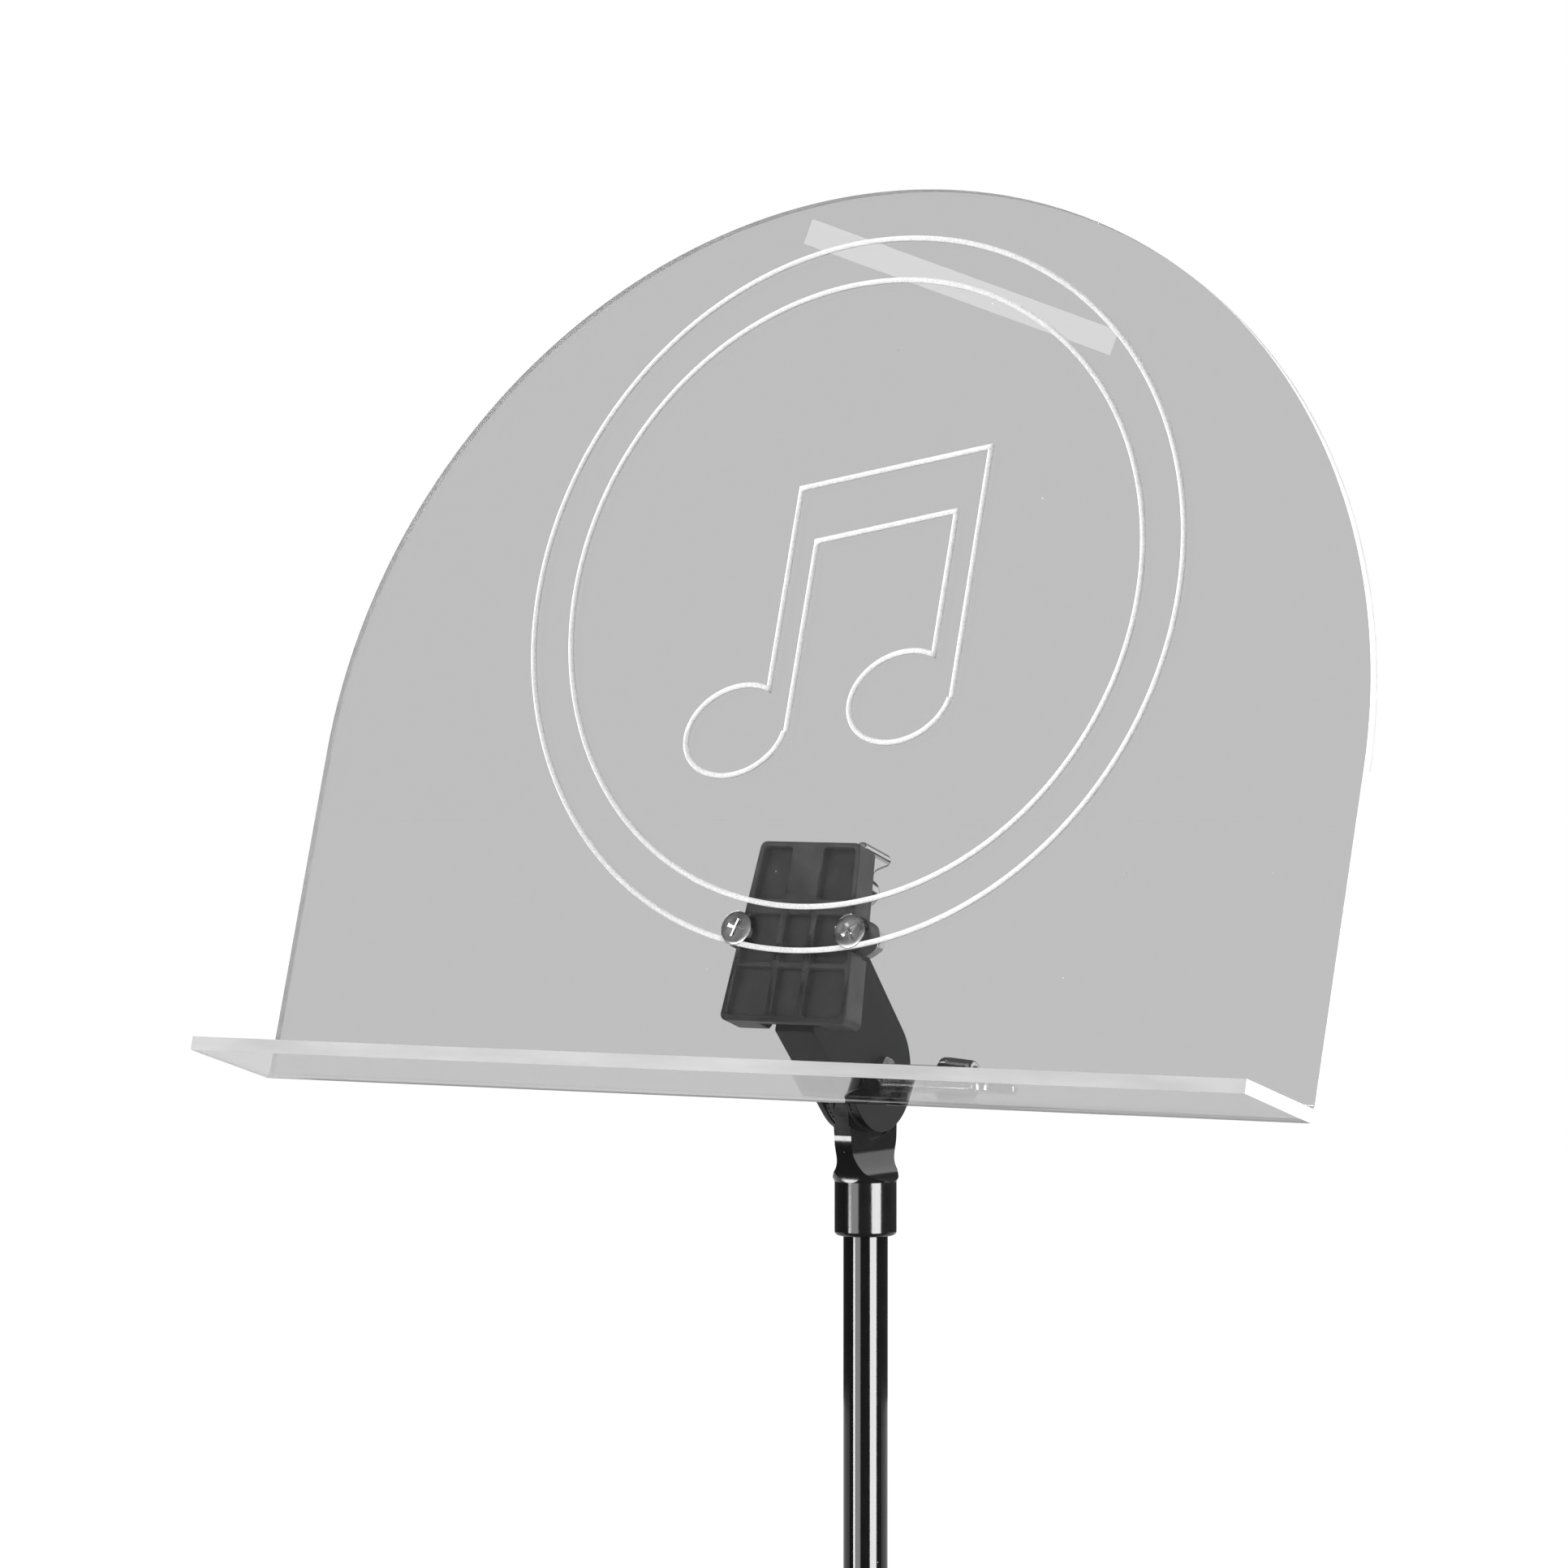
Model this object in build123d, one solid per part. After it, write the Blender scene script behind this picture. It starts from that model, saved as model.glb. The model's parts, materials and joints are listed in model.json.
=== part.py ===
from build123d import *
from math import asin, atan2, cos, radians, sin, sqrt
import os

# Clear acrylic shield on a tilting stand head.  Millimetres, +Z up.
# Origin: centre of the lower end of the extension tube.
# +X is the right-hand side as the user faces the shield, and +Y points away from the user.

# ---------------------------------------------------------------- driving dimensions
TILT = 17.55                 # lean of the shield back from vertical, degrees
SHIELD_WIDTH = 430.0
SHIELD_STRAIGHT = 119.6      # straight side height, below the half-round top
SHEET = 5.0                  # acrylic thickness
LEDGE_DEPTH = 50.0
LEDGE_ANGLE = 92.3           # inside angle between the ledge and the shield
BEND_INNER_R = 1.5
ENGRAVING_RINGS = (133.2, 117.2)
ENGRAVING_CENTRE_V = 182.7
ENGRAVING_WIDTH = 2.0
ENGRAVING_DEPTH = 0.8

SCREW_SPACING = 47.0
SCREW_V = 57.1               # height of the shield screws above the bend line
M6_R = 3.0
M6_THREAD_GAP = 0.05         # radial running gap of a nut or insert on its thread
M6_CLEARANCE_R = 3.3
HEAD_R = 6.3
NUT_FLATS = 10.0
WASHER_T = 1.2

BLOCK_X = -1.4               # the block and its screws sit this far off the arm's centre line
BLOCK_BOTTOM_V = 24.1
BLOCK_TOP_V = 90.1
BLOCK_BOTTOM_WIDTH = 52.4
BLOCK_TOP_WIDTH = 41.0
BLOCK_PLATE_T = 7.5
BLOCK_DEPTH = 12.5
POCKET_DEPTH = 3.5
EAR_R = 6.5
EAR_NUT_ROOM = 1.2           # clear round each ear nut
INSERT_R = 4.5
INSERT_LENGTH = 5.0
SEAT_DEPTH = 0.5             # the arm's web sits in a shallow seat in the block

ARM_WIDTH = 16.0
ARM_PLATE = 2.3
ARM_TOP_V = 89.1
ARM_REAR_N = -32.5
ARM_END_R = 21.2

PIVOT_Y = -1.0
PIVOT_Z = 208.7
BEND_Y = -65.52              # the bend line where the shield meets the ledge
BEND_Z = 207.37

TUBE_R = 8.0
TUBE_WALL = 1.2
TUBE_LENGTH = 150.0
ADAPTER_R = 11.15
BLADE_HALF = 3.5
RECESS_HALF = 2.9
RECESS_R = 24.0
DISC_R = 20.8
DISC_GAP = 0.1

CLAMP_V = 82.1               # height of the clamp stud above the bend line
WING_SPAN = 34.0

# ---------------------------------------------------------------- frames
lean = radians(TILT)
# In this frame x runs across the shield, y up its front face and z out of the front face.
shield_frame = Plane(origin=(0, BEND_Y, BEND_Z), x_dir=(1, 0, 0), z_dir=(0, -cos(lean), sin(lean)))


def to_shield(y, z):
    """Height up the shield (v) and distance out of its face (n) of a point of the YZ plane."""
    dy, dz = y - BEND_Y, z - BEND_Z
    return dy * sin(lean) + dz * cos(lean), -dy * cos(lean) + dz * sin(lean)


def on_shield(shape):
    return shield_frame.location * shape


def screw_x(side):
    return BLOCK_X + side * SCREW_SPACING / 2


parts = {}
PIVOT_V, PIVOT_N = to_shield(PIVOT_Y, PIVOT_Z)
REAR_N = -SHEET                                   # rear face of the acrylic
ARM_FRONT_N = REAR_N - BLOCK_PLATE_T + SEAT_DEPTH


# ---------------------------------------------------------------- common hardware
NUT_CHAMFER = 0.55
THREAD_MOUTH = 0.4           # countersink at the open end of a threaded bore
WASHER_ROUND = 0.25
STUD_CHAMFER = 0.6


def hex_nut(thickness, bore_r=M6_R + M6_THREAD_GAP, flats=NUT_FLATS):
    """Hexagon nut on +Z from z = 0, with chamfered corners."""
    prism = extrude(RegularPolygon(flats / 2, 6, major_radius=False), thickness)
    corner_r = flats / 2 / cos(radians(30))
    blank = Pos(0, 0, thickness / 2) * Cylinder(corner_r, thickness)
    blank = chamfer(blank.edges().filter_by(GeomType.CIRCLE), NUT_CHAMFER)
    bore = Pos(0, 0, thickness / 2) * Cylinder(bore_r, thickness * 2)
    mouth = Pos(0, 0, thickness - THREAD_MOUTH / 2) * Cone(bore_r, bore_r + THREAD_MOUTH, THREAD_MOUTH)
    return (prism & blank) - bore - mouth


def washer(outer_r, thickness, bore_r=M6_CLEARANCE_R):
    """Flat washer on +Z from z = 0, with a rounded rim."""
    ring = Cylinder(outer_r, thickness) - Cylinder(bore_r, thickness * 2)
    rim = ring.edges().filter_by(GeomType.CIRCLE).sort_by(SortBy.RADIUS)[-2:]
    return Pos(0, 0, thickness / 2) * fillet(rim, WASHER_ROUND)


HUB_LENGTH = 13.0
STUD_IN_HUB = 9.0
WING_T = 3.0
BEAD_R = 2.1                 # thickened outer edge of each wing
BEAD_LENGTH = 19.4


def wing_head():
    """Cast wing head: its seat is at z = 0 and it runs back along +Z, wings along +-X."""
    hub_profile = make_face(
        FilletPolyline((0, 0), (6.0, 0), (6.0, 3.0), (5.2, HUB_LENGTH), (0, HUB_LENGTH),
                       radius=[0, 0.6, 1.0, 1.8, 0], close=True))
    hub = revolve(Plane.XZ * hub_profile, Axis.Z)
    tip = WING_SPAN / 2
    # one wing from the side: a foot by the seat, a scalloped underside and a back end
    outline = FilletPolyline(
        (2.0, 1.6), (6.2, 1.6), (10.2, 4.6), (13.0, 2.6), (tip, 2.6), (tip, 22.0),
        (13.2, 22.0), (8.5, 13.0), (2.0, 11.0),
        radius=[0, 2.0, 2.0, 1.2, 1.5, 1.5, 1.5, 4.0, 0], close=True)
    web = extrude(Plane.XZ * make_face(outline), WING_T / 2, both=True)
    rim = web.edges().filter_by(Plane.XZ)
    web = fillet([edge for edge in rim if edge.bounding_box().max.X > 2.2], 0.9)
    bead = Pos(tip - BEAD_R, 0, 12.3) * Cylinder(BEAD_R, BEAD_LENGTH)
    bead = fillet(bead.edges().filter_by(GeomType.CIRCLE), 1.2)
    wing = web + bead
    head = hub + wing + mirror(wing, Plane.YZ)
    bore = Pos(0, 0, STUD_IN_HUB / 2) * Cylinder(M6_R, STUD_IN_HUB)
    return head - bore


def stud(length):
    """M6 stud on +Z from z = 0, with a chamfered free end at z = 0."""
    body = Pos(0, 0, length / 2) * Cylinder(M6_R, length)
    ends = body.edges().filter_by(GeomType.CIRCLE).sort_by(Axis.Z)
    return chamfer(ends[0], STUD_CHAMFER)


# ---------------------------------------------------------------- acrylic shield
def shield_profile():
    """Side section of the bent sheet: the ledge, the bend and the upright, in (v, n)."""
    turn = radians(LEDGE_ANGLE)
    along = (cos(turn), sin(turn))                # from the bend line out along the ledge
    down = (-sin(turn), cos(turn))                # out of the ledge's underside
    top = SHIELD_STRAIGHT + SHIELD_WIDTH / 2
    front = (LEDGE_DEPTH * along[0], LEDGE_DEPTH * along[1])
    front_low = (front[0] + SHEET * down[0], front[1] + SHEET * down[1])
    # outer corner, where the rear face meets the ledge's underside
    reach = (-SHEET - SHEET * down[1]) / along[1]
    corner = (SHEET * down[0] + reach * along[0], -SHEET)
    line = FilletPolyline(front, (0, 0), (top, 0), (top, -SHEET), corner, front_low,
                          radius=[0, BEND_INNER_R, 0, 0, BEND_INNER_R + SHEET, 0], close=True)
    return make_face(line)


def ring_groove(radius):
    half = ENGRAVING_WIDTH / 2
    return Circle(radius + half) - Circle(radius - half)


NOTE_HEAD_R = 21.0           # plain pair of quavers, engraved inside the rings
NOTE_HEAD_SQUASH = 0.78
NOTE_HEAD_TURN = 20.0
NOTE_STEM = 10.0
NOTE_GAP = 66.0              # between the two stems
NOTE_HEIGHT = 92.0           # from the middle of a head to the top of the beam
NOTE_BEAM = 22.0
NOTE_SLOPE = 0.2


def quaver_pair(grow):
    """Two note heads, their stems and a sloping beam, centred on the rings, grown all round."""
    low = -NOTE_HEIGHT / 2
    shape = Sketch()
    for stem_x in (-NOTE_GAP / 2, NOTE_GAP / 2):
        x = stem_x + NOTE_HEAD_R / 2
        foot = low + stem_x * NOTE_SLOPE
        head = Ellipse(NOTE_HEAD_R + grow, NOTE_HEAD_R * NOTE_HEAD_SQUASH + grow)
        shape += Pos(x + NOTE_STEM / 2 - NOTE_HEAD_R, foot) * Rot(0, 0, NOTE_HEAD_TURN) * head
        height = NOTE_HEIGHT - NOTE_BEAM / 2
        shape += Pos(x, foot + height / 2) * Rectangle(NOTE_STEM + 2 * grow, height)
    end_x = NOTE_GAP / 2 + NOTE_STEM / 2 + grow
    rise = end_x * NOTE_SLOPE
    lift = grow * sqrt(1 + NOTE_SLOPE ** 2)
    top = low + NOTE_HEIGHT + lift
    bottom = low + NOTE_HEIGHT - NOTE_BEAM - lift
    beam = make_face(Polyline(
        (-end_x, top - rise), (end_x, top + rise), (end_x, bottom + rise), (-end_x, bottom - rise),
        close=True))
    return shape + Pos(NOTE_HEAD_R / 2, 0) * beam


def motif_groove():
    half = ENGRAVING_WIDTH / 2
    return quaver_pair(half) - quaver_pair(-half)


def shield_panel():
    bent = extrude(Plane.YZ * shield_profile(), SHIELD_WIDTH / 2, both=True)
    arch = Pos(0, SHIELD_STRAIGHT) * Circle(SHIELD_WIDTH / 2)
    below = SHIELD_STRAIGHT + 20
    blank = arch + Pos(0, SHIELD_STRAIGHT - below / 2) * Rectangle(SHIELD_WIDTH, below)
    outline = Pos(0, 0, -SHEET * 2) * extrude(blank, LEDGE_DEPTH + SHEET * 4)
    panel = bent & outline
    screw_hole = Cylinder(M6_CLEARANCE_R, SHEET * 4)
    sink_depth = HEAD_R - M6_CLEARANCE_R + 0.05
    sink = Pos(0, 0, -sink_depth / 2) * Cone(M6_CLEARANCE_R, HEAD_R + 0.05, sink_depth)
    for side in (-1, 1):
        panel -= Pos(screw_x(side), SCREW_V) * (screw_hole + sink)
    for radius in ENGRAVING_RINGS:
        groove = Pos(0, ENGRAVING_CENTRE_V, -ENGRAVING_DEPTH) * extrude(ring_groove(radius), 2)
        panel -= groove
    panel -= Pos(0, ENGRAVING_CENTRE_V, -ENGRAVING_DEPTH) * extrude(motif_groove(), 2)
    return panel


parts["shield_panel"] = on_shield(shield_panel())


# ---------------------------------------------------------------- shield screws, washers, nuts
NUT_T = 5.0
EAR_REAR_N = REAR_N - BLOCK_PLATE_T
SCREW_END_N = EAR_REAR_N - WASHER_T - NUT_T - 1.0
CROSS_SPAN = 6.8
CROSS_WIDTH = 1.3
CROSS_DEPTH = 2.4


def panel_screw():
    """Countersunk screw with a cross recess, its flat head flush with z = 0."""
    head_depth = HEAD_R - M6_R
    head = Pos(0, 0, -head_depth / 2) * Cone(M6_R, HEAD_R, head_depth)
    shank_length = -SCREW_END_N
    shank = Pos(0, 0, -shank_length / 2) * Cylinder(M6_R, shank_length)
    shank = chamfer(shank.edges().filter_by(GeomType.CIRCLE).sort_by(Axis.Z)[0], STUD_CHAMFER)
    cross = Rectangle(CROSS_SPAN, CROSS_WIDTH) + Rectangle(CROSS_WIDTH, CROSS_SPAN)
    slot = extrude(cross, -CROSS_DEPTH, taper=12)
    centre = Pos(0, 0, -1.4) * Cone(0.5, 2.0, 2.8)
    return head + shank - slot - centre


for side, name in ((-1, "left"), (1, "right")):
    at = Pos(screw_x(side), SCREW_V, 0)
    turn = Rot(0, 0, 24 * side)
    behind = Rot(180, 0, 0)
    seat = Pos(0, 0, EAR_REAR_N)
    nut_seat = Pos(0, 0, EAR_REAR_N - WASHER_T)
    parts["panel_screw_" + name] = on_shield(at * turn * panel_screw())
    parts["panel_washer_" + name] = on_shield(at * seat * behind * washer(HEAD_R + 0.2, WASHER_T))
    parts["panel_nut_" + name] = on_shield(at * nut_seat * behind * turn * hex_nut(NUT_T))


# ---------------------------------------------------------------- moulded block
POCKET_FLOOR_N = REAR_N - POCKET_DEPTH
RIB = 2.8
BORDER = 2.4


def half_width(v):
    """Half of the block's width at a height; it narrows towards the top."""
    share = (v - BLOCK_BOTTOM_V) / (BLOCK_TOP_V - BLOCK_BOTTOM_V)
    return (BLOCK_BOTTOM_WIDTH + (BLOCK_TOP_WIDTH - BLOCK_BOTTOM_WIDTH) * share) / 2


def trapezoid(v_low, v_high, inset=0.0):
    """Part of the block's outline between two heights, inset on its sides."""
    low, high = half_width(v_low) - inset, half_width(v_high) - inset
    return Pos(BLOCK_X, 0) * make_face(Polyline(
        (-low, v_low), (low, v_low), (high, v_high), (-high, v_high), close=True))


def pocket_row(v_low, v_high, dividers):
    """Front pockets of one row: the inset outline less the upright dividers (x, width)."""
    row = trapezoid(v_low, v_high, BORDER)
    middle = (v_low + v_high) / 2
    for x, width in dividers:
        row -= Pos(x, middle) * Rectangle(width, v_high - v_low)
    return row


def front_pockets():
    ribs = [(-8.0, RIB), (4.8, RIB)]
    rows = pocket_row(69.4, 87.8, [(-1.9, 13.6)])
    rows += pocket_row(46.3, 63.3, ribs)
    rows += pocket_row(26.4, 43.7, ribs)
    rows = fillet(rows.vertices(), 1.0)
    return Pos(0, 0, POCKET_FLOOR_N) * extrude(rows, POCKET_DEPTH + 1, taper=-3)


CHANNEL_WIDTH = ARM_WIDTH + 0.6
REAR_CHAMFER = 1.5
FRONT_CHAMFER = 0.4          # on the front face's outline and round its pockets
MOUTH_WIDTH = 26.0           # the channel widens and deepens at its lower end
MOUTH_PLATE_T = 3.6
MOUTH_HEIGHT = 2.0


def block_rear(outline):
    """Rear half of the block: two legs beside the arm's channel, with room for the ear nuts."""
    for side in (-1, 1):
        outline -= Pos(screw_x(side), SCREW_V) * Circle(HEAD_R + EAR_NUT_ROOM)
    height = BLOCK_TOP_V - BLOCK_BOTTOM_V
    outline -= Pos(0, BLOCK_BOTTOM_V + height / 2) * Rectangle(CHANNEL_WIDTH, 2 * height)
    depth = BLOCK_DEPTH - BLOCK_PLATE_T
    rear = Pos(0, 0, REAR_N - BLOCK_DEPTH) * extrude(outline, depth)
    return chamfer(rear.faces().sort_by(Axis.Z)[:2].edges(), REAR_CHAMFER)


def desk_block():
    outline = fillet(trapezoid(BLOCK_BOTTOM_V, BLOCK_TOP_V).vertices(), 2.5)
    rear = block_rear(outline)
    for side in (-1, 1):
        outline += Pos(screw_x(side), SCREW_V) * Circle(EAR_R)
    body = Pos(0, 0, EAR_REAR_N) * extrude(outline, BLOCK_PLATE_T)
    body -= front_pockets()
    front = body.faces().sort_by(Axis.Z)[-1]
    body = chamfer(front.edges(), FRONT_CHAMFER) + rear
    for side in (-1, 1):
        body -= Pos(screw_x(side), SCREW_V, 0) * Cylinder(M6_CLEARANCE_R, 60)
    height = BLOCK_TOP_V - BLOCK_BOTTOM_V
    body -= Pos(0, BLOCK_BOTTOM_V + height / 2, ARM_FRONT_N - 5) * Box(CHANNEL_WIDTH, 2 * height, 10)
    mouth_n = REAR_N - MOUTH_PLATE_T
    mouth = Box(MOUTH_WIDTH, 2 * MOUTH_HEIGHT, 2 * BLOCK_DEPTH)
    body -= Pos(0, BLOCK_BOTTOM_V, mouth_n - BLOCK_DEPTH) * mouth
    body -= Pos(0, CLAMP_V, ARM_FRONT_N) * Cylinder(INSERT_R, INSERT_LENGTH * 2)
    return body


parts["desk_block"] = on_shield(desk_block())


def block_insert():
    body = Pos(0, 0, -INSERT_LENGTH / 2) * Cylinder(INSERT_R, INSERT_LENGTH)
    bore = Pos(0, 0, -INSERT_LENGTH / 2) * Cylinder(M6_R + M6_THREAD_GAP, INSERT_LENGTH * 2)
    return body - bore


insert_top = Pos(0, CLAMP_V, ARM_FRONT_N + INSERT_LENGTH)
parts["block_insert"] = on_shield(insert_top * block_insert())


# ---------------------------------------------------------------- clamp wing screw
clamp_washer_n = ARM_REAR_N
clamp_hub_n = ARM_REAR_N - WASHER_T
clamp_axis = Pos(0, CLAMP_V, 0)
backwards = Rot(180, 0, 0)
wings_upright = Rot(0, 0, 90)
parts["clamp_washer"] = on_shield(
    clamp_axis * Pos(0, 0, clamp_washer_n) * backwards * washer(9.0, WASHER_T))
parts["clamp_wing_head"] = on_shield(
    clamp_axis * Pos(0, 0, clamp_hub_n) * backwards * wings_upright * wing_head())
clamp_tip_n = ARM_FRONT_N + INSERT_LENGTH - 0.5
clamp_length = clamp_tip_n - clamp_hub_n + STUD_IN_HUB
parts["clamp_stud"] = on_shield(
    clamp_axis * Pos(0, 0, clamp_tip_n) * backwards * stud(clamp_length))


# ---------------------------------------------------------------- tilt arm
ARM_FRONT_FOOT_V = 22.6      # where the front edge leaves the block and slants to the pivot
ARM_REAR_FOOT_V = 63.1       # where the rear edge leaves the clamp and slants to the pivot
WEB_END = 10.5               # how far short of the round end the web stops


def tangent_angle(point, upper):
    """Direction, in the (v, n) plane, from a point to its tangent on the arm's round end."""
    dv, dn = PIVOT_V - point[0], PIVOT_N - point[1]
    spread = asin(ARM_END_R / sqrt(dv * dv + dn * dn))
    return atan2(dn, dv) + (spread if upper else -spread)


def tangent_point(point, upper):
    dv, dn = PIVOT_V - point[0], PIVOT_N - point[1]
    length = sqrt(dv * dv + dn * dn - ARM_END_R ** 2)
    angle = tangent_angle(point, upper)
    return point[0] + length * cos(angle), point[1] + length * sin(angle)


def arm_outline():
    """Side plate seen along X, in (v, n): an upright behind the block and a slanting clevis."""
    front = (ARM_FRONT_FOOT_V, ARM_FRONT_N)
    rear = (ARM_REAR_FOOT_V, ARM_REAR_N)
    front_touch = tangent_point(front, False)
    rear_touch = tangent_point(rear, True)
    slant = make_face(Polyline(front, front_touch, (PIVOT_V, PIVOT_N), rear_touch, rear, close=True))
    round_end = Pos(PIVOT_V, PIVOT_N) * Circle(ARM_END_R)
    height = ARM_TOP_V - ARM_FRONT_FOOT_V
    depth = ARM_FRONT_N - ARM_REAR_N
    upright = Pos(ARM_FRONT_FOOT_V + height / 2, ARM_REAR_N + depth / 2) * Rectangle(height, depth)
    cut_back = make_face(Polyline(
        front, rear, (ARM_FRONT_FOOT_V, ARM_REAR_N), close=True))
    return slant + round_end + (upright - cut_back)


def web_strip():
    """The web along the front edge, from the top of the arm to short of the round end."""
    front = (ARM_FRONT_FOOT_V, ARM_FRONT_N)
    touch = tangent_point(front, False)
    dv, dn = touch[0] - front[0], touch[1] - front[1]
    length = sqrt(dv * dv + dn * dn)
    dv, dn = dv / length, dn / length
    stop = (touch[0] - WEB_END * dv, touch[1] - WEB_END * dn)
    inward = (-dn * ARM_PLATE, dv * ARM_PLATE)
    knee_n = ARM_FRONT_N - ARM_PLATE
    inner_start = (front[0] + inward[0], front[1] + inward[1])
    knee_v = inner_start[0] + (knee_n - inner_start[1]) / dn * dv
    return make_face(Polyline(
        (ARM_TOP_V, ARM_FRONT_N), front, stop, (stop[0] + inward[0], stop[1] + inward[1]),
        (knee_v, knee_n), (ARM_TOP_V, knee_n), close=True))


def tilt_arm():
    outline = arm_outline()
    half = ARM_WIDTH / 2
    channel = extrude(Plane.YZ * outline, half, both=True)
    hollow = extrude(Plane.YZ * (offset(outline, 1.0) - web_strip()), half - ARM_PLATE, both=True)
    in_front = Pos(0, 0, ARM_FRONT_N + 50) * Box(ARM_WIDTH * 2, 300, 100)
    arm = channel - (hollow - in_front)
    pivot_hole = Pos(0, PIVOT_V, PIVOT_N) * Rot(0, 90, 0) * Cylinder(M6_CLEARANCE_R, ARM_WIDTH * 2)
    arm -= pivot_hole
    # slot for the clamp stud, open at the top of the web
    slot_height = ARM_TOP_V - CLAMP_V + 5
    slot = Pos(0, CLAMP_V + slot_height / 2, ARM_FRONT_N) * Box(2 * M6_CLEARANCE_R, slot_height, 10)
    slot += Pos(0, CLAMP_V, ARM_FRONT_N) * Cylinder(M6_CLEARANCE_R, 10)
    return arm - slot


parts["tilt_arm"] = on_shield(tilt_arm())


# ---------------------------------------------------------------- pivot discs, nuts and wing screw
TEETH = 60
TOOTH_DEPTH = 0.5


def pivot_disc(thickness, toothed):
    """Disc on +Z from z = 0; a toothed disc has radial notches round the rim at z = 0."""
    disc = Pos(0, 0, thickness / 2) * (Cylinder(DISC_R, thickness) - Cylinder(M6_CLEARANCE_R, 20))
    if toothed:
        notch = Pos(DISC_R - 1.2, 0, 0) * Rot(45, 0, 0) * Box(4.0, 2 * TOOTH_DEPTH, 2 * TOOTH_DEPTH)
        disc -= Compound([Rot(0, 0, 360 / TEETH * index) * notch for index in range(TEETH)])
    return disc


pivot = Pos(0, PIVOT_Y, PIVOT_Z)
clevis_inside = ARM_WIDTH / 2 - ARM_PLATE
friction_t = 1.4
serrated_start = RECESS_HALF + friction_t + DISC_GAP
serrated_t = clevis_inside - serrated_start
for side, name in ((-1, "left"), (1, "right")):
    outward = Rot(0, 90 * side, 0)
    friction = outward * Pos(0, 0, RECESS_HALF) * pivot_disc(friction_t, False)
    serrated = outward * Pos(0, 0, serrated_start) * pivot_disc(serrated_t, True)
    parts["friction_disc_" + name] = pivot * friction
    parts["serrated_disc_" + name] = pivot * serrated

JAM_NUT_T = 3.2
JAM_NUT_TURN = 12.0          # degrees
TILT_HUB_X = 34.0
WING_ROLL = 5.0              # turn of the tilt screw's wings from level, degrees
plate_face = ARM_WIDTH / 2
to_right = pivot * Rot(0, 90, 0)
to_left = pivot * Rot(0, -90, 0)
stud_end_x = -(plate_face + NUT_T + 1.0)
parts["tilt_jam_nut"] = to_right * Pos(0, 0, plate_face) * Rot(0, 0, JAM_NUT_TURN) * hex_nut(JAM_NUT_T)
parts["tilt_lock_nut"] = to_left * Pos(0, 0, plate_face) * hex_nut(NUT_T)
parts["tilt_stud"] = to_right * Pos(0, 0, stud_end_x) * stud(TILT_HUB_X + STUD_IN_HUB - stud_end_x)
parts["tilt_wing_head"] = to_right * Pos(0, 0, TILT_HUB_X) * Rot(0, 0, 90 - WING_ROLL) * wing_head()


# ---------------------------------------------------------------- stand adapter
ADAPTER_Z = TUBE_LENGTH
BLADE_BOSS_R = 17.8
SCOOP_R = 11.0
SCOOP_TOP_Z = ADAPTER_Z + 30.7
FLARE_TOP_Z = ADAPTER_Z + 34.0
FLARE_TOP_R = 19.0
BLADE_WAIST_Z = ADAPTER_Z + 29.7
BLADE_SHOULDER_Z = ADAPTER_Z + 36.7
BODY_TOP_Z = ADAPTER_Z + 19.5
STUD_THREAD_R = 4.7
STUD_HOLE_R = 4.76           # 3/8 inch stand thread, as a plain hole
STUD_HOLE_DEPTH = 16.0


def adapter_blade():
    """Side view of the blade in (y, z): it flares up from the round body to a round boss."""
    waist, shoulder = 14.5, 15.9
    sides = make_face(
        Spline((ADAPTER_R, BODY_TOP_Z), (waist, BLADE_WAIST_Z), (shoulder, BLADE_SHOULDER_Z),
               tangents=((0.0, 1.0), (0.0, 1.0)))
        + Line((shoulder, BLADE_SHOULDER_Z), (PIVOT_Y + BLADE_BOSS_R, PIVOT_Z))
        + Line((PIVOT_Y + BLADE_BOSS_R, PIVOT_Z), (PIVOT_Y - BLADE_BOSS_R, PIVOT_Z))
        + Line((PIVOT_Y - BLADE_BOSS_R, PIVOT_Z), (-shoulder, BLADE_SHOULDER_Z))
        + Spline((-shoulder, BLADE_SHOULDER_Z), (-waist, BLADE_WAIST_Z), (-ADAPTER_R, BODY_TOP_Z),
                 tangents=((0.0, -1.0), (0.0, -1.0)))
        + Line((-ADAPTER_R, BODY_TOP_Z), (ADAPTER_R, BODY_TOP_Z)))
    return sides + Pos(PIVOT_Y, PIVOT_Z) * Circle(BLADE_BOSS_R)


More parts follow.
